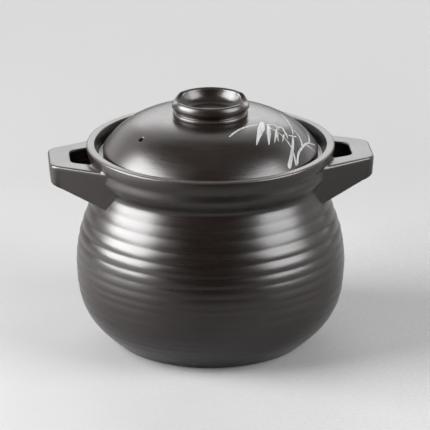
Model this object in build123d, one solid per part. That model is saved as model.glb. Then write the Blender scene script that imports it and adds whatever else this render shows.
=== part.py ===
"""A round-bellied clay stew pot with two slab ears and a domed lid sunk inside its rim.

Five fired pieces: the thrown pot, its two side handles, the lid dome and the cup-shaped
knob on it. +Z is up, the origin is on the pot's axis in the plane that it stands on, and
the handles lie along X. Lengths are in millimetres, angles in degrees.
"""

import math
import os

from build123d import *

# Thrown pot: its outline, measured in the throwing grooves
foot_radius = 80.8
belly_radius = 114.2
belly_height = 67.6
rim_radius = 105.0
rim_height = 173.2
neck_inset = 10.2  # how far the neck lies inside the rim
neck_drop = 31.7  # and how far below it
heel_fullness_share = 2.4  # a larger one rounds the heel more
shoulder_bend_share = 0.53  # how far up the shoulder bends before it runs straight
pot_wall = 6.7
floor_thickness = 9.0
floor_corner_radius = 8.0
floor_corner_room = 1.0  # the wall's own curve ends this far above the corner's arc

# Foot ring, left unglazed under the pot
foot_ring_width = 12.0
foot_recess = 1.8
foot_recess_bevel = 2.5
foot_round = 1.2

# Throwing rings, from the neck down to the plain heel
heel_height = 32.8
top_ring_pitch = 8.7
ring_count = 10
ring_swell = 0.6
ring_fade_share = 0.6  # the share of its swell that the lowest ring has lost
heel_joint_shares = (0.6, 0.22)  # heights between the plain heel's arcs, of its whole height

# Collar, rim and the gallery that the lid sits in
rim_bead_radius = 4.3
rim_face_width = 6.6
rim_edge_round = 1.2
collar_inset = 2.7
collar_drop = 14.2
collar_hollow = 1.7
collar_edge_round = 1.6
groove_depth = 0.9
groove_width = 3.0
gallery_depth = 10.2
gallery_wall = 10.2
gallery_corner_radius = 2.0
seat_edge_round = 1.0

# Side handles: a tapered slab with a sloping underside and a finger slot
handle_drop = 9.2  # its top face lies this far below the rim
handle_overhang = 32.5  # and it stands out this far past it
handle_tip_width = 45.2
handle_flare_angle = 29.0
handle_side_draft = 13.0
handle_tip_draft = 4.0
handle_tip_depth = 17.0
handle_underside_angle = 22.6
handle_corner_radius = 6.5
handle_top_round = 1.6
handle_under_round = 3.0
handle_root_depth = 24.0  # how far the raw slab runs in past the neck, before it is trimmed
slot_tip_wall = 18.2
slot_tip_width = 30.0
slot_flare_angle = 21.8
slot_corner_radius = 4.0
slot_edge_round = 1.2
slot_root_depth = 14.0

# Lid
dome_rise = 29.5
flange_clearance = 3.8
flange_thickness = 6.4
dome_fullness_share = 4.2  # the power of the radius by which the dome falls
lid_wall = 6.0
skirt_clearance = 1.8
skirt_depth = 7.0
skirt_thickness = 5.5
flange_round = 0.9
skirt_round = 1.5
dome_joint_shares = (0.55, 0.72, 0.86, 0.95)  # radii between the dome's arcs
underside_joint_shares = (0.5, 0.8)
vent_diameter = 4.0
vent_inset = 11.0  # how far it lies inside the skirt
vent_azimuth = 207.6

# Knob: an open cup with a bead round its foot and two scoops for finger and thumb
knob_foot_radius = 30.0
knob_bead_swell = 1.3
knob_bead_height = 4.6
knob_lip_swell = 2.8
knob_lip_height = 9.6
knob_height = 13.6
knob_rim_swell = 1.2
knob_rim_width = 5.2
knob_rim_crown = 0.5
knob_floor = 4.2
knob_cup_draft = 6.5  # how far the cup narrows from its rim to its floor
knob_cup_round = 5.0
scoop_radius = 55.0
scoop_depth = 3.0
scoop_turn = -12.0

overrun = 10.0  # how far a cutting shape runs past what it cuts
slope_step = 0.01  # the short stretch over which an outline's slope is taken
straight_limit = 0.001  # a bend flatter than this is drawn as a straight line

# Sizes that follow from those above
neck_radius = rim_radius - neck_inset
neck_height = rim_height - neck_drop
ring_pitch = (neck_height - top_ring_pitch - heel_height) / ring_count
mouth_radius = neck_radius - pot_wall
rim_inner_radius = rim_radius - rim_face_width
collar_radius = rim_radius - collar_inset
collar_height = rim_height - collar_drop
groove_height = collar_height + groove_width
gallery_radius = rim_radius - gallery_wall
seat_height = rim_height - gallery_depth
handle_height = rim_height - handle_drop
handle_reach = rim_radius + handle_overhang
slot_reach = handle_reach - slot_tip_wall
flange_radius = gallery_radius - flange_clearance
flange_height = seat_height + flange_thickness
crown_height = flange_height + dome_rise
skirt_radius = mouth_radius - skirt_clearance
skirt_inner_radius = skirt_radius - skirt_thickness
vent_from_axis = skirt_inner_radius - vent_inset
knob_lip_radius = knob_foot_radius + knob_lip_swell
knob_rim_radius = knob_foot_radius + knob_rim_swell
knob_rim_inner = knob_rim_radius - knob_rim_width
knob_cup_radius = knob_rim_inner - knob_cup_draft


def point(radius, height):
    """A point of a turned outline, which is drawn in the XZ plane."""
    return Vector(radius, 0, height)


def bend(start, middle, end):
    """The arc through three points, or a line where they are nearly in line."""
    sagitta = (middle - (start + end) / 2).length
    if sagitta < straight_limit * (end - start).length:
        return Line(start, end)
    return ThreePointArc(start, middle, end)


def turned(edges):
    """The solid that a closed outline makes when it is turned about the axis."""
    return revolve(Face(Wire(edges)), Axis.Z)


def body_radius(height):
    """The pot's outside radius in its grooves, from the foot to the neck."""
    if height < belly_height:
        rise = height / belly_height
        swell = math.tanh(heel_fullness_share * rise) / math.tanh(heel_fullness_share)
        return foot_radius + (belly_radius - foot_radius) * swell
    climb = (height - belly_height) / (neck_height - belly_height)
    steepness = 1 / (2 * shoulder_bend_share - shoulder_bend_share**2)
    fall = steepness * climb**2
    if climb > shoulder_bend_share:
        fall = steepness * shoulder_bend_share * (2 * climb - shoulder_bend_share)
    return belly_radius - (belly_radius - neck_radius) * fall


def body_lean(height):
    """The angle by which the pot's outline leans outwards from upright at a height."""
    widening = body_radius(height + slope_step) - body_radius(height - slope_step)
    return math.atan2(widening, 2 * slope_step)


def inside_body(height):
    """The point of the pot's inner wall that lies square across the wall from a height outside."""
    lean = body_lean(height)
    radius = body_radius(height) - pot_wall * math.cos(lean)
    return point(radius, height + pot_wall * math.sin(lean))


def wall_end_height():
    """The height outside at which the inner wall's curve ends, with room to turn into the floor."""
    lean = body_lean(floor_thickness)
    tangent = floor_corner_radius * math.tan((math.pi / 2 - lean) / 2)
    return floor_thickness + tangent * math.cos(lean) + floor_corner_room


def dome_height(radius):
    """The height of the lid's outer surface."""
    fall = crown_height - flange_height
    return crown_height - fall * (radius / flange_radius) ** dome_fullness_share


def underside_height(radius):
    """The height of the lid's inner surface, one wall below the outer one."""
    fall = crown_height - flange_height
    share = radius / flange_radius
    steepness = fall / flange_radius * dome_fullness_share * share ** (dome_fullness_share - 1)
    return dome_height(radius) - lid_wall * math.hypot(1, steepness)


def ring_heights():
    """The heights of the throwing grooves, from the neck down."""
    first = neck_height - top_ring_pitch
    return [neck_height] + [first - ring_pitch * i for i in range(ring_count + 1)]


def ring_arcs():
    """The throwing rings: one outward swell between each two grooves, fainter towards the heel."""
    arcs = []
    grooves = ring_heights()
    for i, (upper, lower) in enumerate(zip(grooves, grooves[1:])):
        middle = (upper + lower) / 2
        swell = ring_swell * (1 - ring_fade_share * i / ring_count)
        start = point(body_radius(upper), upper)
        crest = point(body_radius(middle) + swell, middle)
        arcs.append(bend(start, crest, point(body_radius(lower), lower)))
    return arcs


def heel_arcs():
    """The plain heel below the last groove, down to the foot ring's rounded edge."""
    top = ring_heights()[-1]
    heights = [top] + [top * share for share in heel_joint_shares]
    arcs = []
    for upper, lower in zip(heights, heights[1:]):
        middle = (upper + lower) / 2
        start = point(body_radius(upper), upper)
        arcs.append(bend(start, point(body_radius(middle), middle), point(body_radius(lower), lower)))
    return arcs


def foot_edges():
    """From the end of the heel round the foot ring and its shallow recess to the axis."""
    heel_end = ring_heights()[-1] * heel_joint_shares[-1]
    ring_inner = foot_radius - foot_ring_width
    return FilletPolyline(
        point(body_radius(heel_end), heel_end),
        point(foot_radius, 0),
        point(ring_inner, 0),
        point(ring_inner - foot_recess_bevel, foot_recess),
        point(0, foot_recess),
        radius=(foot_round, foot_round, foot_round),
    )


def collar_edges():
    """From the neck up the hollow collar and its groove, and over the rim's bead to its flat face."""
    neck = point(neck_radius, neck_height)
    collar = point(collar_radius, collar_height)
    hollow = (neck + collar) / 2 + point(-collar_hollow, 0)
    groove = point(collar_radius - groove_depth, groove_height)
    shelf_mid = (collar + groove) / 2 + point(collar_edge_round / 2, 0)
    bead_centre = point(rim_radius - rim_bead_radius, rim_height - rim_bead_radius)
    diagonal = rim_bead_radius / math.sqrt(2)
    bead_start = bead_centre + point(diagonal, -diagonal)
    bead_side = bead_centre + point(rim_bead_radius, 0)
    bead_top = bead_centre + point(0, rim_bead_radius)
    return [
        ThreePointArc(neck, hollow, collar),
        ThreePointArc(collar, shelf_mid, groove),
        Line(groove, bead_start),
        ThreePointArc(bead_start, bead_side, bead_top),
    ]


def gallery_edges():
    """From the rim's flat face down into the gallery, over the lid's seat and down the mouth."""
    return FilletPolyline(
        point(rim_radius - rim_bead_radius, rim_height),
        point(rim_inner_radius, rim_height),
        point(gallery_radius, seat_height),
        point(mouth_radius, seat_height),
        point(mouth_radius, neck_height),
        radius=(rim_edge_round, gallery_corner_radius, seat_edge_round),
    )


def inner_wall_arcs():
    """The smooth inside of the pot, from its mouth to where its floor begins."""
    grooves = ring_heights()
    heights = [(grooves[i] + grooves[i + 1]) / 2 for i in range(0, ring_count, 2)]
    heights += [grooves[-1], grooves[-1] * heel_joint_shares[0], wall_end_height()]
    arcs = [Line(point(mouth_radius, neck_height), inside_body(heights[0]))]
    for upper, lower in zip(heights, heights[1:]):
        arcs.append(bend(inside_body(upper), inside_body((upper + lower) / 2), inside_body(lower)))
    return arcs


def floor_edges():
    """The floor: the heel's inner slope runs on down to it and turns into it."""
    low = wall_end_height()
    wall_end = inside_body(low)
    slope = (inside_body(low + slope_step) - wall_end) / slope_step
    corner_radius = wall_end.X - (wall_end.Z - floor_thickness) * slope.X / slope.Z
    return FilletPolyline(
        wall_end,
        point(corner_radius, floor_thickness),
        point(0, floor_thickness),
        radius=(floor_corner_radius,),
    )


def pot_vessel():
    outside = ring_arcs() + heel_arcs() + foot_edges().edges() + collar_edges()
    inside = gallery_edges().edges() + inner_wall_arcs() + floor_edges().edges()
    axis_edge = Line(point(0, foot_recess), point(0, floor_thickness))
    return turned(outside + inside + [axis_edge])


def pot_envelope():
    """The pot filled to its axis: what the handles are trimmed against."""
    face_edge = Line(point(rim_radius - rim_bead_radius, rim_height), point(0, rim_height))
    axis_edge = Line(point(0, foot_recess), point(0, rim_height))
    return turned(ring_arcs() + heel_arcs() + foot_edges().edges() + collar_edges() + [face_edge, axis_edge])


def tapered_outline(tip_x, root_x, tip_half_width, flare, corner_radius, height):
    """A level trapezoid, wider towards the pot, with its two tip corners rounded."""
    root_half_width = tip_half_width + (tip_x - root_x) * math.tan(math.radians(flare))
    outline = FilletPolyline(
        (root_x, -root_half_width, height),
        (tip_x, -tip_half_width, height),
        (tip_x, tip_half_width, height),
        (root_x, root_half_width, height),
        radius=(corner_radius, corner_radius),
    )
    root_edge = Line((root_x, root_half_width, height), (root_x, -root_half_width, height))
    return Face(Wire(outline.edges() + [root_edge]))


def handle_slab(depth):
    """The handle before its underside is cut: it narrows downwards on its sides and its tip."""
    root_x = neck_radius - handle_root_depth
    flare = math.radians(handle_flare_angle)
    side_shift = depth * math.tan(math.radians(handle_side_draft)) / math.cos(flare)
    tip_shift = depth * math.tan(math.radians(handle_tip_draft))
    half_width = handle_tip_width / 2
    low_half_width = half_width + tip_shift * math.tan(flare) - side_shift
    low_z = handle_height - depth
    top = tapered_outline(
        handle_reach, root_x, half_width, handle_flare_angle, handle_corner_radius, handle_height
    )
    low = tapered_outline(
        handle_reach - tip_shift, root_x, low_half_width, handle_flare_angle, handle_corner_radius, low_z
    )
    return loft([top, low], ruled=True)


def side_handle():
    """The right-hand handle, trimmed to the pot that it is luted to."""
    root_x = neck_radius - handle_root_depth
    slope = math.tan(math.radians(handle_underside_angle))
    tip_z = handle_height - handle_tip_depth
    root_z = tip_z - (handle_reach - root_x) * slope
    slab = handle_slab(handle_height - root_z)
    low_z = root_z - overrun
    under_cut = Face(
        Polyline(
            (root_x - overrun, 0, root_z - overrun * slope),
            (handle_reach + overrun, 0, tip_z + overrun * slope),
            (handle_reach + overrun, 0, low_z),
            (root_x - overrun, 0, low_z),
            close=True,
        )
    )
    slab -= extrude(under_cut, amount=handle_reach, dir=(0, 1, 0), both=True)
    slot_z = low_z - overrun
    slot = extrude(
        tapered_outline(
            slot_reach,
            neck_radius - slot_root_depth,
            slot_tip_width / 2,
            slot_flare_angle,
            slot_corner_radius,
            slot_z,
        ),
        amount=handle_height + overrun - slot_z,
        dir=(0, 0, 1),
    )
    outer_edges = slab.faces().sort_by(Axis.Z)[-1].edges()
    slab = fillet(outer_edges, handle_top_round)
    under_edges = slab.faces().filter_by(lambda face: face.normal_at().Z < 0).sort_by(SortBy.AREA)[-1].edges()
    slab = fillet(under_edges, handle_under_round)
    slab -= slot
    top_face = slab.faces().sort_by(Axis.Z)[-1]
    slab = fillet(top_face.inner_wires()[0].edges(), slot_edge_round)
    return slab - pot_envelope()


def lid_dome():
    """The lid: a dome on a flat flange, with a skirt that drops into the pot's mouth."""
    seat = dome_height(knob_foot_radius)
    radii = [knob_foot_radius] + [flange_radius * share for share in dome_joint_shares] + [flange_radius]
    dome = []
    for inner, outer in zip(radii, radii[1:]):
        middle = (inner + outer) / 2
        start = point(inner, dome_height(inner))
        dome.append(bend(start, point(middle, dome_height(middle)), point(outer, dome_height(outer))))
    skirt_end = seat_height - skirt_depth
    skirt_top = underside_height(skirt_inner_radius)
    flange = FilletPolyline(
        point(flange_radius, flange_height),
        point(flange_radius, seat_height),
        point(skirt_radius, seat_height),
        point(skirt_radius, skirt_end),
        point(skirt_inner_radius, skirt_end),
        point(skirt_inner_radius, skirt_top),
        radius=(flange_round, flange_round, skirt_round, skirt_round),
    )
    under_radii = [skirt_inner_radius * share for share in (0, *underside_joint_shares, 1)]
    underside = []
    for inner, outer in zip(under_radii, under_radii[1:]):
        middle = (inner + outer) / 2
        start = point(inner, underside_height(inner))
        end = point(outer, underside_height(outer))
        underside.append(bend(start, point(middle, underside_height(middle)), end))
    crown = Line(point(0, seat), point(knob_foot_radius, seat))
    axis_edge = Line(point(0, seat), point(0, underside_height(0)))
    lid = turned([crown, axis_edge] + dome + flange.edges() + underside)
    return lid - vent_drill()


def vent_drill():
    """The straight round hole that lets the steam out."""
    turn = math.radians(vent_azimuth)
    reach = crown_height - seat_height
    drill = Cylinder(vent_diameter / 2, reach + 2 * overrun)
    middle = (crown_height + seat_height) / 2
    return Pos(vent_from_axis * math.cos(turn), vent_from_axis * math.sin(turn), middle) * drill


def lid_knob():
    """The knob: a turned cup with a bead at its foot and a swollen lip, scooped on two sides."""
    base = dome_height(knob_foot_radius)
    top = base + knob_height
    foot = point(knob_foot_radius, base)
    waist = point(knob_foot_radius, base + knob_bead_height)
    bead = point(knob_foot_radius + knob_bead_swell, base + knob_bead_height / 2)
    lip = point(knob_lip_radius, base + knob_lip_height)
    rim_outer = point(knob_rim_radius, top)
    rim_crest = point(knob_rim_radius - knob_rim_width / 2, top + knob_rim_crown)
    cup = FilletPolyline(
        point(knob_rim_inner, top),
        point(knob_cup_radius, base + knob_floor),
        point(0, base + knob_floor),
        radius=(knob_cup_round,),
    )
    outline = [
        Line(point(0, base), foot),
        ThreePointArc(foot, bead, waist),
        ThreePointArc(waist, lip, rim_outer),
        ThreePointArc(rim_outer, rim_crest, point(knob_rim_inner, top)),
        Line(point(0, base), point(0, base + knob_floor)),
    ]
    knob = turned(outline + cup.edges())
    roller = Rot(0, 90, 0) * Cylinder(scoop_radius, 2 * (knob_lip_radius + overrun))
    trough = Pos(0, 0, top + knob_rim_crown - scoop_depth + scoop_radius) * Rot(0, 0, scoop_turn) * roller
    return knob - trough


def main():
    os.makedirs("parts", exist_ok=True)
    right = side_handle()
    pieces = {
        "pot_vessel": pot_vessel(),
        "handle_right": right,
        "handle_left": mirror(right, about=Plane.YZ),
        "lid_dome": lid_dome(),
        "lid_knob": lid_knob(),
    }
    for node, piece in pieces.items():
        export_step(piece, f"parts/{node}.step")


main()
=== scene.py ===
# %% [markdown]
# # A clay stew pot under a satin glaze
#
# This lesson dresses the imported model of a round-bellied Chinese sand pot. The model holds
# five fired pieces at their true size: the thrown pot, its two slab ears, the domed lid and
# the cup-shaped knob. Here each piece gets the softer shape that clay has once glaze has
# melted over it, and then the glaze itself. A potter's wheel turns a profile about an axis,
# so most surfaces are a profile and an angle: a grid of points that numpy works out whole.

import math

import bpy
import numpy as np
from mathutils import Matrix, Vector


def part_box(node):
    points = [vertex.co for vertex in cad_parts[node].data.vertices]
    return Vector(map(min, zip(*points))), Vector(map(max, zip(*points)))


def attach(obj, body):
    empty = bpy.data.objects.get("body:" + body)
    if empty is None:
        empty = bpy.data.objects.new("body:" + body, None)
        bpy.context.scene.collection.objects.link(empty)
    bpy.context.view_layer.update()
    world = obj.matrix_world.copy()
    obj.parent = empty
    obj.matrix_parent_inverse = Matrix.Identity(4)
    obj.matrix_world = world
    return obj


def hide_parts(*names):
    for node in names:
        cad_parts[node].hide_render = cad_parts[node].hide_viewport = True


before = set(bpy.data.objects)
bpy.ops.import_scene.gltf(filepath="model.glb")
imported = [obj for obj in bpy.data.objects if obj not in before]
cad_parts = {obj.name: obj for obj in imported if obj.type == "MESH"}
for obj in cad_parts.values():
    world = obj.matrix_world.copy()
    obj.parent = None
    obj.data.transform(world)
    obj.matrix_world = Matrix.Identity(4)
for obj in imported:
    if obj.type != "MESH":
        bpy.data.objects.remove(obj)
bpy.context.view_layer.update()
MM = 0.001
print("nodes:", sorted(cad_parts))

# %% [markdown]
# ## Sizes
#
# Blender works in metres here, and a potter in millimetres, so each size is written in
# millimetres times MM. The sizes that the model already holds are read from its boxes, so a
# change there carries over by itself. The others are the pot's own small sizes.

# %% Driving sizes
rim_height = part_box("pot_vessel")[1].z
flange_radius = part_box("lid_dome")[1].x
knob_seat_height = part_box("lid_knob")[0].z
knob_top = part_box("lid_knob")[1].z
ear_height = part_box("handle_right")[1].z
ear_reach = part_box("handle_right")[1].x

rim_radius = 105.0 * MM
foot_radius = 80.8 * MM
belly_radius = 114.2 * MM
belly_height = 67.6 * MM
neck_radius = rim_radius - 10.2 * MM
neck_height = rim_height - 31.7 * MM
seat_height = rim_height - 10.2 * MM
pot_wall = 6.7 * MM
mouth_radius = neck_radius - pot_wall
print(f"rim {rim_height / MM:.1f} mm high, ears reach {ear_reach / MM:.1f} mm from the axis")

# %% [markdown]
# ## Helpers for outlines
#
# A maker's drawing is a line with rounded corners. The first helper makes that line, the
# second spaces its points evenly, and the third lets glaze soften it: melted glaze pulls
# itself smooth, so every edge becomes a weighted mean of what lies round it. The last one
# draws a smooth line through a few points, as a hand does with a brush.


# %% Outlines
def rounded_path(corners, radii, leg_steps, corner_steps=8):
    """The points of a line through corners, whose inner corners are rounded.

    A corner is cut back by its radius over the tangent of half its angle. A quadratic curve
    bridges the cut: the square of one minus u times the first end, plus twice u times one
    minus u times the corner, plus the square of u times the second end.
    """
    corners = np.asarray(corners, float)
    bends = [corners[:1]]
    for before, corner, after, radius in zip(corners, corners[1:], corners[2:], radii):
        back = (before - corner) / np.linalg.norm(before - corner)
        ahead = (after - corner) / np.linalg.norm(after - corner)
        cut = radius / math.tan(math.acos(np.clip(back @ ahead, -1, 1)) / 2)
        u = np.linspace(0, 1, corner_steps)[:, None]
        start, end = corner + back * cut, corner + ahead * cut
        bends.append((1 - u) ** 2 * start + 2 * u * (1 - u) * corner + u**2 * end)
    bends.append(corners[-1:])
    line = [bends[0]]
    for bend, following, steps in zip(bends, bends[1:], leg_steps):
        share = np.linspace(0, 1, steps + 1)[1:-1, None]
        line += [bend[-1] + (following[0] - bend[-1]) * share, following]
    return np.concatenate(line)


def evenly(line, spacing):
    """The same line with its points an even spacing apart, measured along it."""
    run = np.concatenate([[0], np.cumsum(np.linalg.norm(np.diff(line, axis=0), axis=1))])
    stops = np.linspace(0, run[-1], int(run[-1] / spacing) + 2)
    return np.stack([np.interp(stops, run, column) for column in line.T], axis=1)


def melted(line, softness, spacing):
    """The line as glaze leaves it: each point is the mean of its neighbours by a bell curve.

    The weight is e to minus half the squared distance over the softness. Past its two ends
    the line goes on as its own reflection in the end point, so the ends stay in place.
    """
    per_softness, reach = 4, 12
    fine = evenly(line, softness / per_softness)
    weights = np.exp(-0.5 * (np.arange(-reach, reach + 1) / per_softness) ** 2)
    before = 2 * fine[0] - fine[reach:0:-1]
    after = 2 * fine[-1] - fine[-2:-reach - 2:-1]
    padded = np.concatenate([before, fine, after])
    soft = [np.convolve(column, weights / weights.sum(), "valid") for column in padded.T]
    return evenly(np.stack(soft, axis=1), spacing)


def smooth_line(points, count):
    """A smooth line through a few points: each coordinate as a sum of cubic pieces.

    Between two points the line is the cubic whose slope at each end is half the step between
    that end's two neighbours.
    """
    points = np.asarray(points, float)
    if len(points) == 2:
        return points[0] + (points[1] - points[0]) * np.linspace(0, 1, count)[:, None]
    slope = np.gradient(points, axis=0)
    place = np.linspace(0, len(points) - 1, count)
    i = np.minimum(place.astype(int), len(points) - 2)
    t = (place - i)[:, None]
    start, end = points[i], points[i + 1]
    return (
        (2 * t**3 - 3 * t**2 + 1) * start
        + (t**3 - 2 * t**2 + t) * slope[i]
        + (3 * t**2 - 2 * t**3) * end
        + (t**3 - t**2) * slope[i + 1]
    )


# %% [markdown]
# ## From a grid to a mesh
#
# Every piece below is a grid of rows and columns. The columns run round and always close.
# The rows either close too, like a ring, or end in two points, like a ball. The helper
# measures the volume inside the faces: if it comes out negative, the faces look inwards,
# so it turns them round. It also stores how sharply each point stands proud, because
# glaze runs thin there and shows more of the clay.


# %% Meshes
def solid_volume(points, quads, fans):
    """The volume inside closed faces: a sixth of the sum of a times (b cross c) per triangle."""
    triangles = np.concatenate([quads[:, [0, 1, 2]], quads[:, [0, 2, 3]], fans])
    a, b, c = (points[triangles[:, i]] for i in range(3))
    return float(np.sum(a * np.cross(b, c))) / 6


def proudness(grid, axis):
    """How sharply each point stands out of its neighbours along one way of the grid, per metre.

    It is twice the distance from the point to the middle of its two neighbours, over the
    product of the two steps, counted positive where the middle lies inside.
    """
    ahead, behind = np.roll(grid, -1, axis), np.roll(grid, 1, axis)
    if axis == 0:
        ahead[-1], behind[0] = grid[-1], grid[0]
    step_on, step_back = (np.linalg.norm(side - grid, axis=2) + 1e-7 for side in (ahead, behind))
    across = np.cross(np.roll(grid, -1, 1) - np.roll(grid, 1, 1), ahead - behind)
    across /= np.linalg.norm(across, axis=2, keepdims=True) + 1e-12
    middle = (ahead * step_back[..., None] + behind * step_on[..., None]) / (step_on + step_back)[..., None]
    return 2 * np.sum((grid - middle) * across, axis=2) / (step_on * step_back)


def skin(name, grid, ends=None, edge_axis=0):
    """A mesh object from a grid of points, with an edge_glaze value on each."""
    rows, columns = grid.shape[:2]
    index = np.arange(rows * columns).reshape(rows, columns)
    if ends is None:
        index = np.concatenate([index, index[:1]])
    right = np.roll(index, -1, axis=1)
    quads = np.stack([index[:-1], right[:-1], right[1:], index[1:]], axis=-1).reshape(-1, 4)
    points = grid.reshape(-1, 3)
    proud = proudness(grid, edge_axis).reshape(-1)
    fans = np.zeros((0, 3), int)
    if ends is not None:
        first, last = len(points), len(points) + 1
        near = np.stack([np.full(columns, first), right[0], index[0]], axis=1)
        far = np.stack([np.full(columns, last), index[-1], right[-1]], axis=1)
        fans = np.concatenate([near, far])
        points = np.concatenate([points, np.asarray(ends, float)])
        proud = np.concatenate([proud, [0, 0]])
    if solid_volume(points, quads, fans) < 0:
        quads, fans, proud = quads[:, ::-1], fans[:, ::-1], -proud
    mesh = bpy.data.meshes.new(name)
    mesh.from_pydata(points, [], quads.tolist() + fans.tolist())
    mesh.shade_smooth()
    worn = mesh.attributes.new("edge_glaze", "FLOAT", "POINT")
    worn.data.foreach_set("value", np.clip(proud * 0.8 * MM, 0, 1).astype(np.float32))
    piece = bpy.data.objects.new(name, mesh)
    bpy.context.scene.collection.objects.link(piece)
    volume = solid_volume(points, quads, fans) / MM**3
    print(f"{name}: {2 * len(quads) + len(fans)} triangles, {volume:.0f} cubic mm")
    return piece


def turned(line, columns):
    """A grid: each point (radius, height) of a line goes round the axis.

    x is the radius times the cosine of the turn, and y the radius times its sine.
    """
    turn = np.linspace(0, 2 * np.pi, columns, endpoint=False)
    radius, height = line[:, 0, None], line[:, 1, None]
    x, y = radius * np.cos(turn), radius * np.sin(turn)
    return np.stack([x, y, height + 0 * x], axis=2), turn


# %% [markdown]
# ## The pot's outline
#
# The wall swells from the foot to the belly and runs in to the neck. The heel follows a
# hyperbolic tangent of the height, which rises fast and then levels out, as a heel does.
# The shoulder bends like a parabola at first and then runs straight to the neck.

# %% The wall's curve
heel_fullness, shoulder_bend = 2.4, 0.53


def wall_radius(height):
    """The pot's radius in its grooves.

    Below the belly: the foot's radius plus the belly's gain times the hyperbolic tangent of
    2.4 times the share of the height. Above: the square of the climb up to 0.53 of it, then
    the tangent of that parabola, scaled so that the fall is 1 at the neck.
    """
    rise = np.tanh(heel_fullness * height / belly_height) / math.tanh(heel_fullness)
    low = foot_radius + (belly_radius - foot_radius) * rise
    climb = (height - belly_height) / (neck_height - belly_height)
    bent = np.where(climb < shoulder_bend, climb**2, shoulder_bend * (2 * climb - shoulder_bend))
    fall = bent / (2 * shoulder_bend - shoulder_bend**2)
    high = belly_radius - (belly_radius - neck_radius) * fall
    return np.where(height < belly_height, low, high)


# %% [markdown]
# ## Throwing rings
#
# The potter's fingers leave a ring at each turn of the wheel. The rings are proud by about
# half a millimetre, a finger's width apart, and never quite even: the steps between them
# are listed as shares of the common step, from the neck down. Below them the heel was
# trimmed with a tool, which left a few fine lines.

# %% Rings and tool lines
heel_height = 33.0 * MM
ring_step_shares = np.array([0.87, 0.93, 1.01, 1.0, 0.99, 0.85, 0.85, 0.85, 0.65, 1.0, 0.95, 0.9])
ring_swells = np.array([0.3, 0.4, 0.7, 0.95, 0.95, 0.7, 0.5, 0.45, 0.4, 0.4, 0.4, 0.35])[::-1] * 0.65 * MM
groove_drop = 2.2 * MM
groove_softness = 0.16
steps_down = np.cumsum(ring_step_shares) / ring_step_shares.sum()
lower_grooves = neck_height - groove_drop - (neck_height - heel_height) * steps_down
grooves = np.concatenate([[neck_height], lower_grooves])[::-1]
tool_lines = np.array([25.5, 19.5, 12.5, 5.5]) * MM
tool_depth, tool_width = 0.14 * MM, 0.8 * MM


def ring_relief(height, turn):
    """How far rings stand out at a height and a turn.

    Between two grooves the share t runs from 0 to 1. The ring is the sine of pi times t,
    whose square gets a small constant under the root, so that the groove is soft. Lower
    rings are fainter, and each one waxes and wanes a little round the pot.
    """
    which = np.clip(np.searchsorted(grooves, height) - 1, 0, len(grooves) - 2)
    share = (height - grooves[which]) / (grooves[which + 1] - grooves[which])
    inside = (share >= 0) & (share <= 1)
    whole = math.hypot(1, groove_softness) - groove_softness
    wave = np.sin(np.pi * np.clip(share, 0, 1))
    arch = (np.hypot(wave, groove_softness) - groove_softness) / whole
    swell = ring_swells[which]
    uneven = 1 + 0.18 * np.sin(turn * (1 + which % 3) + 2.1 * which)
    lines = np.exp(-(((height[..., None] - tool_lines) / tool_width) ** 2)).sum(axis=-1)
    return np.where(inside, swell * uneven * arch, 0) - tool_depth * lines


def wander(turn):
    """How far the rings drift up and down round the pot: three sine waves added."""
    return (0.35 * np.sin(turn + 1.0) + 0.2 * np.sin(2 * turn + 2.2) + 0.1 * np.sin(5 * turn)) * MM


print("grooves at mm:", np.round(grooves / MM, 1))

# %% [markdown]
# ## Collar, rim and gallery
#
# Above the neck the wall flares out again in a full collar. A shallow groove parts the
# collar from the rim's upright band, whose upper edge is narrow and catches the light.
# Behind the flat rim a gallery drops to the ledge that the lid sits on. Four lines make the
# whole pot: under the foot, up the wall, over the rim, and down the inside.

# %% The pot's four lines
foot_ring_width, foot_recess, recess_bevel = 12.0 * MM, 1.8 * MM, 2.5 * MM
collar_radius, collar_height = rim_radius - 2.8 * MM, rim_height - 19.8 * MM
collar_fullness, neck_softness = 1.2, 2.4 * MM
rim_corner, rim_face_width = 1.5 * MM, 6.6 * MM
band_set_back = np.array([2.66, 2.8, 2.9, 2.5, 1.4, 0.5, 0.08, 0]) * MM
band_drop = np.array([17.8, 15.5, 13.2, 11.2, 9.0, 6.5, 4.0, 1.5]) * MM
gallery_radius = rim_radius - 10.2 * MM
floor_thickness = 9.0 * MM


def rim_bead():
    """The line from the collar through the groove, up the rim's band and over its corner.

    The groove and the band are a smooth line through points, each set back from the rim's
    radius. The corner is a quarter circle, by the cosine and sine of its angle.
    """
    band = smooth_line(np.stack([rim_radius - band_set_back, rim_height - band_drop], axis=1), 60)
    angle = np.radians(np.linspace(0, 90, 12))[1:, None]
    centre = np.array([rim_radius - rim_corner, rim_height - rim_corner])
    return np.concatenate([band, centre + rim_corner * np.hstack([np.cos(angle), np.sin(angle)])])


wall_heights = np.linspace(1.5 * MM, neck_height, 240)
wall_line = np.stack([wall_radius(wall_heights), wall_heights], axis=1)
neck, collar = wall_line[-1], np.array([collar_radius, collar_height])
flare = np.linspace(0, 1, 40)[:, None]
collar_line = neck + (collar - neck) * np.hstack([1 - (1 - flare) ** collar_fullness, flare])
shoulder_line = melted(np.concatenate([wall_line, collar_line[1:]]), neck_softness, 0.6 * MM)
ring_inner = foot_radius - foot_ring_width
under_line = [(0, foot_recess), (ring_inner - recess_bevel, foot_recess), (ring_inner, 0)]
foot_line = [(foot_radius, 0)]
gallery_line = [
    (rim_radius - rim_face_width, rim_height),
    (gallery_radius, seat_height),
    (mouth_radius, seat_height),
    (mouth_radius, seat_height - 4 * MM),
]
split = np.argmax(shoulder_line[:, 1] > collar_height - 2 * MM)
outside = np.concatenate([under_line[-1:], foot_line, shoulder_line[: split + 1]])
rim_line = np.concatenate([shoulder_line[split:], rim_bead(), gallery_line])
lean = np.gradient(wall_radius(wall_heights), wall_heights)
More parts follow.
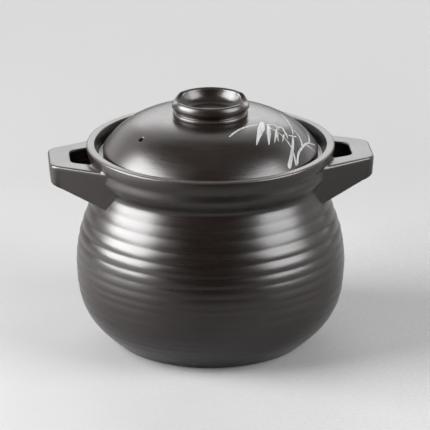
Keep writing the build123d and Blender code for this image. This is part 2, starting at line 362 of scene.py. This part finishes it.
lean_angle = np.arctan(lean)
inner_wall = wall_line + np.stack([-np.cos(lean_angle), np.sin(lean_angle)], axis=1) * pot_wall
inner_wall = inner_wall[(inner_wall[:, 1] > floor_thickness) & (inner_wall[:, 1] < neck_height)][::-1]
floor_corner = (inner_wall[-1, 0] - 3 * MM, floor_thickness)
inside = np.concatenate([gallery_line[-1:], inner_wall, [floor_corner], [(0, floor_thickness)]])
print("points outside, over the rim, inside:", len(outside), len(rim_line), len(inside))

# %% Turn the pot
pot_columns = 224
pot_line = np.concatenate(
    [
        melted(np.array(under_line), 0.5 * MM, 2.5 * MM)[1:],
        melted(outside, 0.4 * MM, 0.85 * MM)[1:],
        melted(rim_line, 0.4 * MM, 0.42 * MM)[1:],
        melted(inside, 3 * MM, 3 * MM)[1:-1],
    ]
)
pot_grid, pot_turn = turned(pot_line, pot_columns)
outside_rows = np.arange(len(pot_line)) < np.argmax(pot_line[:, 0] * (pot_line[:, 1] > collar_height))
relief = ring_relief(pot_grid[..., 2] - wander(pot_turn), pot_turn + 0 * pot_grid[..., 2])
on_wall = outside_rows[:, None] & (pot_grid[..., 2] < neck_height) & (pot_grid[..., 2] > 1.2 * MM)
relief = np.where(on_wall, relief, 0)
pot_grid[..., 0] += relief * np.cos(pot_turn)
pot_grid[..., 1] += relief * np.sin(pot_turn)
pot = skin("thrown_pot", pot_grid, ends=[(0, 0, foot_recess), (0, 0, floor_thickness)])

# %% [markdown]
# ## The lid, turned about its vent
#
# A hole makes a turned surface hard: the grid has no seam where it could open. So this lid's
# rows aren't circles about the axis. They are circles that start at the little steam vent
# and grow, while their centres slide back to the axis, until the last one is the flange.
# That way the whole lid, with its vent, is one closed ring of rows.

# %% The lid's curves
dome_rise, flange_thickness = 29.5 * MM, 6.4 * MM
flange_top = seat_height + flange_thickness
crown_height = flange_top + dome_rise
dome_power = 4.2
lid_wall = 6.0 * MM
skirt_radius = mouth_radius - 1.8 * MM
skirt_depth, skirt_thickness = 7.0 * MM, 5.5 * MM
skirt_inner = skirt_radius - skirt_thickness
vent_radius, vent_azimuth = 2.3 * MM, math.radians(209.3)
vent_place = (skirt_inner - 11.0 * MM) * np.array([math.cos(vent_azimuth), math.sin(vent_azimuth)])
vent_round = 0.5 * MM


def dome_height(radius):
    """The dome's height: the crown's, less its rise times the radius share to the power 4.2."""
    return crown_height - dome_rise * (radius / flange_radius) ** dome_power


def lid_underside(radius):
    """One wall below the dome, measured square to it: the wall over the cosine of the slope."""
    slope = dome_rise / flange_radius * dome_power * (radius / flange_radius) ** (dome_power - 1)
    return dome_height(radius) - lid_wall * np.hypot(1, slope)


def growing_circles(outer_radius, rows, turn):
    """Circles from the vent to a circle about the axis, closer together at both ends.

    With the share w, half of one minus the cosine of pi times t, the centre is one minus w
    times the vent's place, and the radius goes from the vent's to the outer one by w.
    """
    w = ((1 - np.cos(np.pi * np.linspace(0, 1, rows))) / 2)[:, None]
    radius = (1 - w) * vent_radius + w * outer_radius
    x = (1 - w) * vent_place[0] + radius * np.cos(turn)
    y = (1 - w) * vent_place[1] + radius * np.sin(turn)
    return x, y


def vent_drop(x, y):
    """How far the glaze rounds off the vent's edge: a quarter circle that starts at the hole."""
    gap = np.hypot(x - vent_place[0], y - vent_place[1]) - vent_radius
    inward = np.clip(vent_round - gap, 0, vent_round)
    return vent_round - np.sqrt(vent_round**2 - inward**2)


# %% Make the lid
lid_turn = np.linspace(0, 2 * np.pi, 256, endpoint=False)
edge_radius = flange_radius - 1.6 * MM
top_x, top_y = growing_circles(edge_radius, 150, lid_turn)
top_z = dome_height(np.hypot(top_x, top_y)) - vent_drop(top_x, top_y)
skirt_corners = [
    (edge_radius, dome_height(edge_radius)),
    (flange_radius, flange_top),
    (flange_radius, seat_height),
    (skirt_radius, seat_height),
    (skirt_radius, seat_height - skirt_depth),
    (skirt_inner, seat_height - skirt_depth),
    (skirt_inner, lid_underside(skirt_inner)),
]
skirt_radii = np.array([0.9, 0.9, 0.6, 1.5, 1.5]) * MM
skirt_line = rounded_path(skirt_corners, skirt_radii, [2, 6, 4, 5, 3, 8], 7)
skirt_grid, _ = turned(skirt_line[1:-1], len(lid_turn))
under_x, under_y = (axis[::-1] for axis in growing_circles(skirt_inner, 60, lid_turn))
under_z = lid_underside(np.hypot(under_x, under_y)) + vent_drop(under_x, under_y)
share = np.linspace(0, 1, 8)[1:-1, None]
bore_z = under_z[-1] + (top_z[0] - under_z[-1]) * share
bore = np.stack([top_x[:1] + 0 * bore_z, top_y[:1] + 0 * bore_z, bore_z], axis=2)
lid_grid = np.concatenate(
    [np.stack([top_x, top_y, top_z], 2), skirt_grid, np.stack([under_x, under_y, under_z], 2), bore]
)
lid = skin("domed_lid", lid_grid)

# %% [markdown]
# ## The knob
#
# The knob is a small cup: a bead at its foot, a narrow waist and a swollen lip, open on top.
# Two scoops let finger and thumb close on it. The potter presses them down with a thumb, so
# the lip stays round there: its upper part is squeezed until its crest follows a lying
# cylinder.

# %% The knob's line and scoops
knob_foot_radius = 30.0 * MM
bead_radius, waist_height = 1.65 * MM, 3.5 * MM
lip_radius, lip_height = knob_foot_radius + 2.8 * MM, 8.8 * MM
crest_radius, inner_radius, inner_drop = knob_foot_radius - 0.2 * MM, knob_foot_radius - 2.9 * MM, 2.6 * MM
knob_height = knob_top - knob_seat_height
cup_floor_radius, cup_floor, cup_edge = knob_foot_radius - 7.5 * MM, 3.8 * MM, 2.6 * MM
cup_round = 11.0 * MM
scoop_radius, scoop_depth, scoop_turn = 29.0 * MM, 4.8 * MM, math.radians(-8)
press_height = knob_seat_height + 5.5 * MM
press_blend = 0.04


def arc(centre, half_width, half_height, first, last, steps=16):
    """Points on an ellipse: the centre plus each half size times the angle's cosine or sine."""
    angle = np.radians(np.linspace(first, last, steps))[:, None]
    return np.array(centre) + np.hstack([half_width * np.cos(angle), half_height * np.sin(angle)])


def knob_outline():
    """The knob's line from the middle of its base, up outside, over the lip and into the cup.

    The waist goes out to the lip by half of one minus the cosine of pi times the climb.
    """
    base = knob_seat_height
    bead = arc((knob_foot_radius + 0.1 * MM, base + bead_radius), bead_radius, bead_radius, -12, 78)
    climb = np.linspace(0, 1, 20)[:, None]
    waist = np.hstack(
        [
            knob_foot_radius + (lip_radius - knob_foot_radius) * (1 - np.cos(np.pi * climb)) / 2,
            base + waist_height + (lip_height - waist_height) * climb,
        ]
    )
    lip_reach, lip_rise = lip_radius - crest_radius, knob_height - lip_height
    lip = arc((crest_radius, base + lip_height), lip_reach, lip_rise, 0, 90, 24)
    inner_reach = crest_radius - inner_radius
    roll = arc((crest_radius, base + knob_height - inner_drop), inner_reach, inner_drop, 90, 180)
    bowl_corners = [roll[-1], (cup_floor_radius, base + cup_edge), (0, base + cup_floor)]
    bowl = rounded_path(bowl_corners, [cup_round], [8, 8], 20)
    return np.concatenate([[(0, base), (bead[0, 0], base)], bead, waist, lip[1:], roll[1:], bowl[1:]])


def scooped(grid):
    """The grid with the lip's scoops pressed down.

    Across the scoops' axis the trough's height is its lowest plus its radius less the root
    of the radius squared minus the distance squared. What lies above the press height keeps
    the share of its height that brings the crest down to the trough. Where the share would
    pass 1 it is softly held there: minus the blend times the log of both e-powers added.
    """
    across = -grid[..., 0] * math.sin(scoop_turn) + grid[..., 1] * math.cos(scoop_turn)
    trough = knob_top - scoop_depth + scoop_radius - np.sqrt(np.maximum(scoop_radius**2 - across**2, 0))
    share = (trough - press_height) / (knob_top - press_height)
    kept = -press_blend * np.logaddexp(-1 / press_blend, -share / press_blend)
    raised = np.maximum(grid[..., 2] - press_height, 0)
    pressed = grid.copy()
    pressed[..., 2] -= raised * (1 - kept)
    return pressed


knob_line = melted(knob_outline(), 0.35 * MM, 0.45 * MM)
knob_grid, _ = turned(knob_line[1:-1], 220)
knob_grid = scooped(knob_grid)
knob = skin("cup_knob", knob_grid, ends=[(0, 0, knob_seat_height), (0, 0, knob_seat_height + cup_floor)])

# %% [markdown]
# ## The ears
#
# Each ear is a slab with a finger slot, luted to the collar. Seen as a bar that leaves the
# pot, turns twice and comes back, it is a section carried along a path. The section has
# four corners: the slot's edge and the outer edge, each at the top and at the sloping
# underside. Near the pot the surface swells out along its normal, as the fillet of slip
# and pooled glaze does that a potter wipes into such a joint.

# %% The ear's two outlines
ear_tip_width, ear_flare = 45.2 * MM, math.radians(29.0)
ear_side_draft, ear_tip_draft = math.radians(13.0), math.radians(4.0)
ear_tip_depth, ear_slope = 17.0 * MM, math.tan(math.radians(22.6))
slot_reach, slot_tip_width, slot_flare = ear_reach - 18.6 * MM, 30.0 * MM, math.radians(21.8)
ear_root = 62.0 * MM
fillet_radius = 3.2 * MM
tuck = 3.0 * MM
end_depth_share = 0.935  # the wall runs in to the neck, so an end's middle is drawn in as well


def ear_outline(tip, half_width, flare, corner_radius):
    """A plan line from one root round the tip to the other: a trapezoid without its long side."""
    root_half = half_width + (tip - ear_root) * math.tan(flare)
    corners = [(ear_root, -root_half), (tip, -half_width), (tip, half_width), (ear_root, root_half)]
    return rounded_path(corners, [corner_radius, corner_radius], [110, 36, 110], 22)


def plan_normals(line):
    """The outward directions of a plan line: its running direction turned by a right angle."""
    run = np.gradient(line, axis=0)
    normal = np.stack([run[:, 1], -run[:, 0]], axis=1)
    return normal / np.linalg.norm(normal, axis=1, keepdims=True)


def ear_corners():
    """The four corner lines of the bar: outer top, outer low, slot low and slot top.

    A side that leans in by its draft loses depth times the tangent of the draft. The depth at
    the low edge follows from the sloping underside: the tip's depth plus the distance from
    the tip times the slope, over one less the slope times what the draft takes off.
    """
    outer = ear_outline(ear_reach, ear_tip_width / 2, ear_flare, 13 * MM)
    slot = ear_outline(slot_reach, slot_tip_width / 2, slot_flare, 10.0 * MM)
    normal = plan_normals(outer)
    facing_tip = np.clip((normal[:, 0] - math.sin(ear_flare)) / (1 - math.sin(ear_flare)), 0, 1)
    draft = math.tan(ear_side_draft) * (1 - facing_tip) + math.tan(ear_tip_draft) * facing_tip
    depth = ear_tip_depth + (ear_reach - outer[:, 0]) * ear_slope
    depth /= 1 - ear_slope * draft * normal[:, 0]
    low = outer - normal * (depth * draft)[:, None]
    slot_depth = ear_tip_depth + (ear_reach - slot[:, 0]) * ear_slope
    lift = lambda plan, fall: np.concatenate([plan, ear_height - fall[:, None]], axis=1)
    return [lift(outer, 0 * depth), lift(low, depth), lift(slot, slot_depth), lift(slot, 0 * depth)]


def rounded_section(corners, radii, side_steps, corner_steps=7):
    """Carries a four-cornered section along: each corner line is cut back and bridged.

    It is the same quadratic curve as in rounded_path, but for all sections at once.
    """
    u = np.linspace(0, 1, corner_steps)[None, :, None]
    bends = []
    for i, corner in enumerate(corners):
        back, ahead = corners[i - 1] - corner, corners[(i + 1) % 4] - corner
        back /= np.linalg.norm(back, axis=1, keepdims=True)
        ahead /= np.linalg.norm(ahead, axis=1, keepdims=True)
        half = np.arccos(np.clip((back * ahead).sum(axis=1), -1, 1)) / 2
        cut = (radii[i] / np.tan(half))[:, None]
        start, end, middle = ((corner + move * cut)[:, None] for move in (back, ahead, 0 * ahead))
        bends.append((1 - u) ** 2 * start + 2 * u * (1 - u) * middle + u**2 * end)
    rows = []
    for bend, following, steps in zip(bends, bends[1:] + bends[:1], side_steps):
        share = np.linspace(0, 1, steps + 1)[None, 1:-1, None]
        rows += [bend, bend[:, -1:] + (following[:, :1] - bend[:, -1:]) * share]
    return np.concatenate(rows, axis=1)


# %% Where the ear meets the pot
collar_part = pot_line[: np.argmax(pot_line[:, 0] * (pot_line[:, 1] > collar_height))]
collar_part = collar_part[collar_part[:, 1] > 100 * MM]


def pot_radius_at(height):
    """The pot's radius at a height between the shoulder and the bead, read off its outline."""
    return np.interp(height, collar_part[:, 1], collar_part[:, 0])


def luted(grid):
    """Swells the bar towards the pot and tucks its ends into the wall.

    Within one fillet radius of the pot, a point moves out along its normal by the radius
    less the root of the radius squared minus the square of what is left to the pot.
    """
    along = np.gradient(grid, axis=0)
    around = np.roll(grid, -1, 1) - np.roll(grid, 1, 1)
    normal = np.cross(around, along)
    normal /= np.linalg.norm(normal, axis=2, keepdims=True) + 1e-12
    outward = (normal * (grid - grid.mean(axis=1, keepdims=True))).sum()
    normal *= np.sign(outward)
    radial = grid[..., :2] / np.linalg.norm(grid[..., :2], axis=2, keepdims=True)
    gap = np.linalg.norm(grid[..., :2], axis=2) - pot_radius_at(grid[..., 2])
    leaning = np.arccos(np.clip((normal[..., :2] * radial).sum(axis=2), 0, 1))
    span = fillet_radius * np.tan(leaning / 2)
    inward = np.clip(span - gap / (np.sin(leaning) + 1e-3), 0, span)
    swell = fillet_radius - np.sqrt(fillet_radius**2 - inward**2)
    swell *= np.clip(1 + gap / MM, 0, 1)
    grid = grid + normal * swell[..., None]
    reach = np.hypot(grid[..., 0], grid[..., 1])
    least = pot_radius_at(grid[..., 2]) - tuck
    grid[..., :2] *= (np.maximum(reach, least) / reach)[..., None]
    return grid


ear_radii = np.array([2.6, 3.4, 0.9, 2.2]) * MM
ear_grid = luted(rounded_section(ear_corners(), ear_radii, [12, 8, 10, 7]))


def make_ear(name, side):
    """One ear: the same grid, mirrored in x for the left side. Its ends close inside the wall."""
    grid = ear_grid * [side, 1, 1]
    ends = [grid[row].mean(axis=0) * [end_depth_share, end_depth_share, 1] for row in (0, -1)]
    return skin(name, grid, ends, edge_axis=1)


ears = [make_ear("ear_left", -1), make_ear("ear_right", 1)]

# %% [markdown]
# ## The painted spray
#
# A few strokes of pale slip on the lid show a bamboo, the oldest of brush subjects: stems
# with a joint, thin twigs and drooping leaves. Each stroke is a flat lens of slip, carried
# along a smooth line that lies on the dome. Its width follows the pressure of the brush.

# %% Strokes
slip_height = 0.10 * MM


def stroke(points, widths):
    """The grid of one brush stroke on the dome.

    Across the stroke the offset is half the width times the cosine of an angle, and the
    height above the dome is the slip's thickness times its sine, so it is a flat lens.
    """
    line = smooth_line(np.asarray(points) * MM, 40)
    share = np.linspace(0, 1, len(line))
    width = np.interp(share, np.linspace(0, 1, len(widths)), widths) * MM
    width *= np.sqrt(np.clip(1 - (2 * share - 1) ** 16, 0.02, 1))
    normal = plan_normals(line)
    angle = np.linspace(0, 2 * np.pi, 12, endpoint=False)
    plan = line[:, None] + normal[:, None] * (width[:, None] / 2 * np.cos(angle))[..., None]
    height = dome_height(np.linalg.norm(plan, axis=2)) + slip_height * np.sin(angle) * (width[:, None] > 0)
    return np.concatenate([plan, height[..., None]], axis=2)


stems = [
    ([(59.5, -67), (62.5, -57), (65.5, -42), (66.5, -32)], [3.2, 2.7, 2.1, 1.6]),
    (
        [(66.3, -61), (65.2, -52), (63.2, -46), (58, -39), (52.5, -34.5), (46, -30)],
        [1.9, 1.6, 1.4, 1.3, 1.2, 1.0],
    ),
    ([(67.4, -59), (69.6, -48), (73.7, -38)], [1.6, 1.5, 1.6]),
    ([(66.9, -28), (67.2, -18.5), (64.5, -3), (60.5, 12)], [1.2, 1.0, 1.2, 0.7]),
    ([(73.8, -37), (74.0, -31), (72.1, -23.5), (68, -18)], [1.9, 1.7, 1.3, 0.8]),
]
twigs = [
    ([(73.7, -38), (77.8, -28.5), (82, -21), (85, -17.5), (87.5, -13)], [1.5, 1.3, 1.2, 1.1, 0.6]),
    ([(77.6, -30), (82.5, -27), (86.5, -26)], [1.2, 1.0, 0.6]),
    ([(81.6, -21), (82.6, -10), (81, 0), (76, 9)], [1.4, 1.1, 0.9, 0.4]),
    ([(44.4, -27), (48.9, -24), (52.6, -24), (55.4, -31)], [1.6, 1.7, 1.5, 0.8]),
    ([(54, -27), (57.5, -24), (59.2, -27.5), (60.2, -33.5)], [1.1, 1.4, 1.3, 0.7]),
    ([(62.6, -33), (66.4, -31), (70, -28)], [0.8, 2.0, 0.8]),
]
leaves = [
    ([(41.8, -21), (39.6, -35), (36, -49), (33.2, -60.5)], [3.6, 6.0, 3.2, 0.7]),
    ([(46.4, -27), (45.4, -41), (43.9, -56.5)], [2.2, 3.8, 0.6]),
    ([(53.2, -29), (51.3, -41), (49.1, -51.5)], [1.3, 2.0, 0.5]),
    ([(52.8, -37), (52.7, -48)], [1.7, 0.6]),
    ([(58.7, -35), (56.4, -46)], [1.6, 0.6]),
    ([(59.0, -28), (60.7, -33), (61.6, -39)], [1.4, 2.2, 0.6]),
    ([(11, -53.5), (18, -43.5), (27, -34.5), (38.5, -27.5)], [1.3, 1.9, 2.2, 1.4]),
]


def join_grids(name, grids):
    """One mesh from many closed strokes, each with its own two end points."""
    made = [
        skin(f"{name}_{i}", grid, ends=[grid[0].mean(0), grid[-1].mean(0)])
        for i, grid in enumerate(grids)
    ]
    verts, faces, base = [], [], 0
    for piece in made:
        verts += [v.co[:] for v in piece.data.vertices]
        faces += [[base + v for v in face.vertices] for face in piece.data.polygons]
        base += len(piece.data.vertices)
        bpy.data.meshes.remove(piece.data)
    mesh = bpy.data.meshes.new(name)
    mesh.from_pydata(verts, [], faces)
    mesh.shade_smooth()
    joined = bpy.data.objects.new(name, mesh)
    bpy.context.scene.collection.objects.link(joined)
    return joined


spray = join_grids("bamboo_spray", [stroke(points, widths) for points, widths in stems + twigs + leaves])
print("strokes:", len(stems + twigs + leaves))


# %% [markdown]
# ## Node helpers for the finishes
#
# A material is a small graph. These helpers keep it readable: one adds a node and fills its
# inputs, and the others mix colours, make noise, spread a value over a range, roughen the
# surface and start a material's graph.


# %% Node helpers
def add_node(tree, kind, inputs=None, **settings):
    """A shader node with its settings, whose inputs are values or other nodes' outputs."""
    made = tree.nodes.new(f"ShaderNode{kind}")
    for name, value in settings.items():
        setattr(made, name, value)
    for name, value in (inputs or {}).items():
        if isinstance(value, bpy.types.NodeSocket):
            tree.links.new(value, made.inputs[name])
        else:
            made.inputs[name].default_value = value
    return made


def blend(tree, factor, first, second):
    """Mixes two colours by a factor and returns the mixed colour."""
    made = add_node(tree, "Mix", data_type="RGBA")
    for socket, value in zip((made.inputs[0], made.inputs[6], made.inputs[7]), (factor, first, second)):
        if isinstance(value, bpy.types.NodeSocket):
            tree.links.new(value, socket)
        else:
            socket.default_value = value
    return made.outputs[2]


def noise(tree, place, scale, detail=4.0, stretch=(1, 1, 1)):
    """Noise of a given scale per metre at an object place, stretched along the axes."""
    spread = add_node(tree, "Mapping", {"Vector": place, "Scale": stretch})
    return add_node(
        tree, "TexNoise", {"Vector": spread.outputs[0], "Scale": scale, "Detail": detail}
    ).outputs["Fac"]


def ramp(tree, value, low, high, out_low=0.0, out_high=1.0):
    """Spreads a value between two limits over an output range, clamped."""
    inputs = {"Value": value, "From Min": low, "From Max": high, "To Min": out_low, "To Max": out_high}
    return add_node(tree, "MapRange", inputs).outputs[0]


def bump(tree, height, strength, depth, under=None):
    """Roughens the surface by a height map of some depth, on top of another bump if given."""
    inputs = {"Height": height, "Strength": strength, "Distance": depth}
    if under:
        inputs["Normal"] = under
    return add_node(tree, "Bump", inputs).outputs[0]


def new_material(name):
    """A material with an empty graph, its principled shader and its output."""
    material = bpy.data.materials.new(name)
    material.use_nodes = True
    tree = material.node_tree
    tree.nodes.clear()
    shader = tree.nodes.new("ShaderNodeBsdfPrincipled")
    output = tree.nodes.new("ShaderNodeOutputMaterial")
    tree.links.new(shader.outputs[0], output.inputs[0])
    place = tree.nodes.new("ShaderNodeTexCoord").outputs["Object"]
    return material, tree, shader, place


# %% [markdown]
# ## The glaze
#
# An iron glaze fired in a smoky kiln comes out nearly black, with a brown cast where it is
# thin. It is satin: smooth enough to mirror a window, rough enough to blur its edges. Fine
# level lines from the wheel still show in it, and a few pits where bubbles burst.


# %% Satin glaze
deep_glaze, mid_glaze = (0.0040, 0.0023, 0.0017, 1), (0.0066, 0.0040, 0.0031, 1)
line_glaze, thin_glaze = (0.011, 0.0072, 0.0055, 1), (0.05, 0.032, 0.024, 1)


def satin_glaze():
    material, tree, shader, place = new_material("dark_satin_glaze")
    clouds = noise(tree, place, 22.0, 5.0)
    wheel_lines = noise(tree, place, 30.0, 3.0, (1, 1, 26))
    ripples = noise(tree, place, 160.0, 2.0)
    burst = ramp(tree, noise(tree, place, 900.0, 2.0), 0.24, 0.32)
    edge = add_node(tree, "Attribute", attribute_name="edge_glaze").outputs["Fac"]
    dark = blend(tree, ramp(tree, clouds, 0.35, 0.65), deep_glaze, mid_glaze)
    lined = blend(tree, ramp(tree, wheel_lines, 0.5, 0.75, 0, 0.35), dark, line_glaze)
    thin = blend(tree, ramp(tree, edge, 0.15, 0.9, 0, 0.55), lined, thin_glaze)
    tree.links.new(thin, shader.inputs["Base Color"])
    uneven = add_node(tree, "Math", {0: wheel_lines, 1: clouds}, operation="ADD").outputs[0]
    tree.links.new(ramp(tree, uneven, 0.7, 1.3, 0.26, 0.33), shader.inputs["Roughness"])
    fine = bump(tree, wheel_lines, 0.25, 0.12 * MM)
    ripple = bump(tree, ripples, 0.3, 0.1 * MM, fine)
    pits = bump(tree, burst, 0.35, 0.05 * MM, ripple)
    tree.links.new(pits, shader.inputs["Normal"])
    shader.inputs["IOR"].default_value = 1.48
    return material


# %% [markdown]
# ## Bare clay and pale slip
#
# The foot ring is wiped clean before firing, or it would stick to the kiln shelf, so a band
# of coarse buff clay shows there. The slip of the painted spray is off-white, with streaks
# along each stroke where the brush ran dry.


# %% Clay and slip
def bare_clay():
    material, tree, shader, place = new_material("bare_foot_clay")
    grain = noise(tree, place, 1200.0, 3.0)
    clouds = noise(tree, place, 60.0, 3.0)
    tone = blend(tree, ramp(tree, clouds, 0.35, 0.65), (0.16, 0.11, 0.07, 1), (0.24, 0.17, 0.115, 1))
    dotted = blend(tree, ramp(tree, grain, 0.62, 0.7), tone, (0.09, 0.055, 0.035, 1))
    tree.links.new(dotted, shader.inputs["Base Color"])
    tree.links.new(bump(tree, grain, 0.6, 0.2 * MM), shader.inputs["Normal"])
    shader.inputs["Roughness"].default_value = 0.9
    return material


def pale_slip():
    material, tree, shader, place = new_material("pale_brushed_slip")
    streaks = noise(tree, place, 700.0, 3.0, (1, 0.12, 0.3))
    tone = blend(tree, ramp(tree, streaks, 0.35, 0.7), (0.16, 0.167, 0.163, 1), (0.27, 0.282, 0.276, 1))
    tree.links.new(tone, shader.inputs["Base Color"])
    tree.links.new(bump(tree, streaks, 0.3, 0.05 * MM), shader.inputs["Normal"])
    shader.inputs["Roughness"].default_value = 0.38
    return material


# %% [markdown]
# ## Putting finishes and bodies together
#
# The pot and its ears belong to one body, and the lid with its knob and spray to the other,
# so when the lid is lifted all three rise as one.

# %% Dress the pieces
glaze, clay, slip = satin_glaze(), bare_clay(), pale_slip()
dressing = [
    (pot, "pot", "pot_vessel", glaze, "dark_glaze"),
    (ears[0], "pot", "handle_left", glaze, "dark_glaze"),
    (ears[1], "pot", "handle_right", glaze, "dark_glaze"),
    (lid, "lid", "lid_dome", glaze, "dark_glaze"),
    (knob, "lid", "lid_knob", glaze, "dark_glaze"),
    (spray, "lid", None, slip, "white_slip"),
]
for piece, body, node, material, slot_name in dressing:
    piece.data.materials.append(material)
    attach(piece, body)
    if node:
        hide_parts(node)

pot.data.materials.append(clay)
centres = np.zeros(3 * len(pot.data.polygons), np.float32)
pot.data.polygons.foreach_get("center", centres)
centres = centres.reshape(-1, 3)
bare = (centres[:, 2] < 0.7 * MM) & (np.hypot(centres[:, 0], centres[:, 1]) > ring_inner - recess_bevel)
pot.data.polygons.foreach_set("material_index", bare.astype(np.int32))
print("faces of bare clay:", int(bare.sum()))

# %% [markdown]
# ## Floor and light
#
# A dark glossy pot is lit by what it mirrors. A tall softbox close by on the left and a
# weaker one farther off on the right leave the long highlights on belly and lid. A wall of
# light behind, with a glow above it, draws the pale rim, the ears' tops and the lid's crown.
# What lies behind the camera stays dark, and so the middle of the pot stays nearly black.
#
# The floor is a pale sheet with light and shade painted into its colour. Painted shade tones it
# darker near the lamps, so that it looks even from the camera, and darkens it towards the camera,
# where the light falls off. A painted pool of light makes it paler at the pot's left, where it
# fills the lower belly with light.

# %% Floor
def grey(level, blue=0.0):
    """A grey of some level, with a little more blue if wanted."""
    return (level, level, level + blue, 1)


def pale_floor():
    """Pale paper with painted shade near the lamps and towards the camera, painted light far off, and a
    painted pool of light at the pot's left.
    """
    material, tree, shader, place = new_material("pale_floor")
    weave = noise(tree, place, 260.0, 4.0)
    clouds = ramp(tree, noise(tree, place, 5.0, 3.0), 0.3, 0.7)
    sides = add_node(tree, "SeparateXYZ", {"Vector": place})
    across, far = sides.outputs["X"], sides.outputs["Y"]
    # Painted shade: near the close left lamp the floor is toned darker, so that it looks even.
    shaded_left_tone = blend(tree, clouds, grey(0.18, 0.002), grey(0.2, 0.003))
    right_tone = blend(tree, clouds, grey(0.236, 0.002), grey(0.26, 0.003))
    painted_shade_near_tone = blend(tree, ramp(tree, across, -0.16, 0.14), shaded_left_tone, right_tone)
    speckled = blend(tree, ramp(tree, weave, 0.35, 0.7, 0, 0.3), painted_shade_near_tone, grey(0.17, 0.003))
    # Painted light: farther back, away from the lamps, the floor is toned paler, so that it looks even.
    sideways = ramp(tree, across, -0.3, 0.3)
    middle_tone = blend(tree, sideways, grey(0.182), grey(0.238))
    painted_light_far_tone = blend(tree, sideways, grey(0.288), grey(0.312))
    behind = blend(tree, ramp(tree, far, 0.42, 1.05), middle_tone, painted_light_far_tone)
    tone = blend(tree, ramp(tree, far, 0.2, 0.36), speckled, behind)
    # Painted shade: towards the camera the floor darkens almost to black, where the light falls off.
    painted_front_shade = blend(tree, ramp(tree, far, -0.6, -0.23), grey(0.012), tone)
    # Painted pool of light: to the pot's left and in front of it the floor is pale grey, and it lights the
    # lower belly.
    to_the_left, to_the_front = ramp(tree, across, -0.7, -0.19), ramp(tree, far, -0.3, 0.3)
    painted_light_mask = add_node(tree, "Math", {0: to_the_left, 1: to_the_front}, operation="MAXIMUM")
    painted_left_light = blend(tree, painted_light_mask.outputs[0], grey(0.5), painted_front_shade)
    tree.links.new(painted_left_light, shader.inputs["Base Color"])
    tree.links.new(bump(tree, weave, 0.2, 0.4 * MM), shader.inputs["Normal"])
    shader.inputs["Roughness"].default_value = 0.75
    return material


floor_size = 12.0
floor_mesh = bpy.data.meshes.new("floor")
half = floor_size / 2
floor_corners = [(-half, -half, 0), (half, -half, 0), (half, half, 0), (-half, half, 0)]
floor_mesh.from_pydata(floor_corners, [], [(0, 1, 2, 3)])
floor = bpy.data.objects.new("floor", floor_mesh)
bpy.context.scene.collection.objects.link(floor)
floor_mesh.materials.append(pale_floor())

# %% Softboxes
camera_yaw = math.radians(5.0)
pot_middle = Vector((0, 0, 0.12))


def softbox(name, azimuth, elevation, wide, high, radiance, distance=2.4):
    """A soft light seen from the pot at an azimuth from straight beyond it, all in degrees.

    Its width and height are twice the distance times the tangent of half its angle. The
    power is the brightness times the area times pi.
    """
    turn = math.radians(azimuth) + camera_yaw
    rise = math.radians(elevation)
    way = Vector((math.sin(turn) * math.cos(rise), math.cos(turn) * math.cos(rise), math.sin(rise)))
    light = bpy.data.lights.new(name, "AREA")
    light.shape = "RECTANGLE"
    light.size = 2 * distance * math.tan(math.radians(wide) / 2)
    light.size_y = 2 * distance * math.tan(math.radians(high) / 2)
    light.energy = radiance * light.size * light.size_y * math.pi
    lamp = bpy.data.objects.new(name, light)
    lamp.location = pot_middle + way * distance
    lamp.rotation_euler = way.to_track_quat("Z", "Y").to_euler()
    lamp.visible_camera = False
    bpy.context.scene.collection.objects.link(lamp)
    print(f"{name}: {light.size:.2f} by {light.size_y:.2f} m, {light.energy:.0f} W")


softbox("left_softbox", -101, 24, 47, 45, 24.0, distance=1.1)
softbox("right_softbox", 111, 26, 38, 46, 13.0)
softbox("right_wall", 71, 18, 38, 44, 0.9)
softbox("rear_softbox", 0, 26, 40, 20, 2.5)
softbox("rear_wall", -5, 18, 125, 24, 1.75)
softbox("high_rear_glow", 0, 46, 90, 22, 1.3)
softbox("ceiling_glow", 0, 90, 60, 60, 0.2)

world = bpy.data.worlds.new("studio")
world.use_nodes = True
world.node_tree.nodes["Background"].inputs["Color"].default_value = (0.95, 0.97, 1.0, 1)
world.node_tree.nodes["Background"].inputs["Strength"].default_value = 0.03
bpy.context.scene.world = world
bpy.context.scene.view_settings.view_transform = "Standard"

# %% [markdown]
# ## Camera
#
# The photograph was taken with a long lens from a little over three metres, looking down by
# about twenty degrees. The camera stands slightly to the left, so the left ear is nearer.

# %% Camera
picture_size = 430
focal_length_px = 3932.0
sensor_width = 36.0
camera_distance, camera_height = 3.150, 1.240
camera_pitch = math.radians(19.77)
camera_offset = 3.8 * MM

ahead = Vector((math.sin(camera_yaw), math.cos(camera_yaw), 0))
sideways = Vector((math.cos(camera_yaw), -math.sin(camera_yaw), 0))
view_way = ahead * math.cos(camera_pitch) - Vector((0, 0, math.sin(camera_pitch)))
camera_data = bpy.data.cameras.new("camera")
camera_data.sensor_width = sensor_width
camera_data.lens = focal_length_px / picture_size * sensor_width
camera = bpy.data.objects.new("camera", camera_data)
camera.location = sideways * camera_offset - ahead * camera_distance + Vector((0, 0, camera_height))
camera.rotation_euler = view_way.to_track_quat("-Z", "Y").to_euler()
bpy.context.scene.collection.objects.link(camera)
bpy.context.scene.camera = camera
print("lens in mm:", round(camera_data.lens, 1))
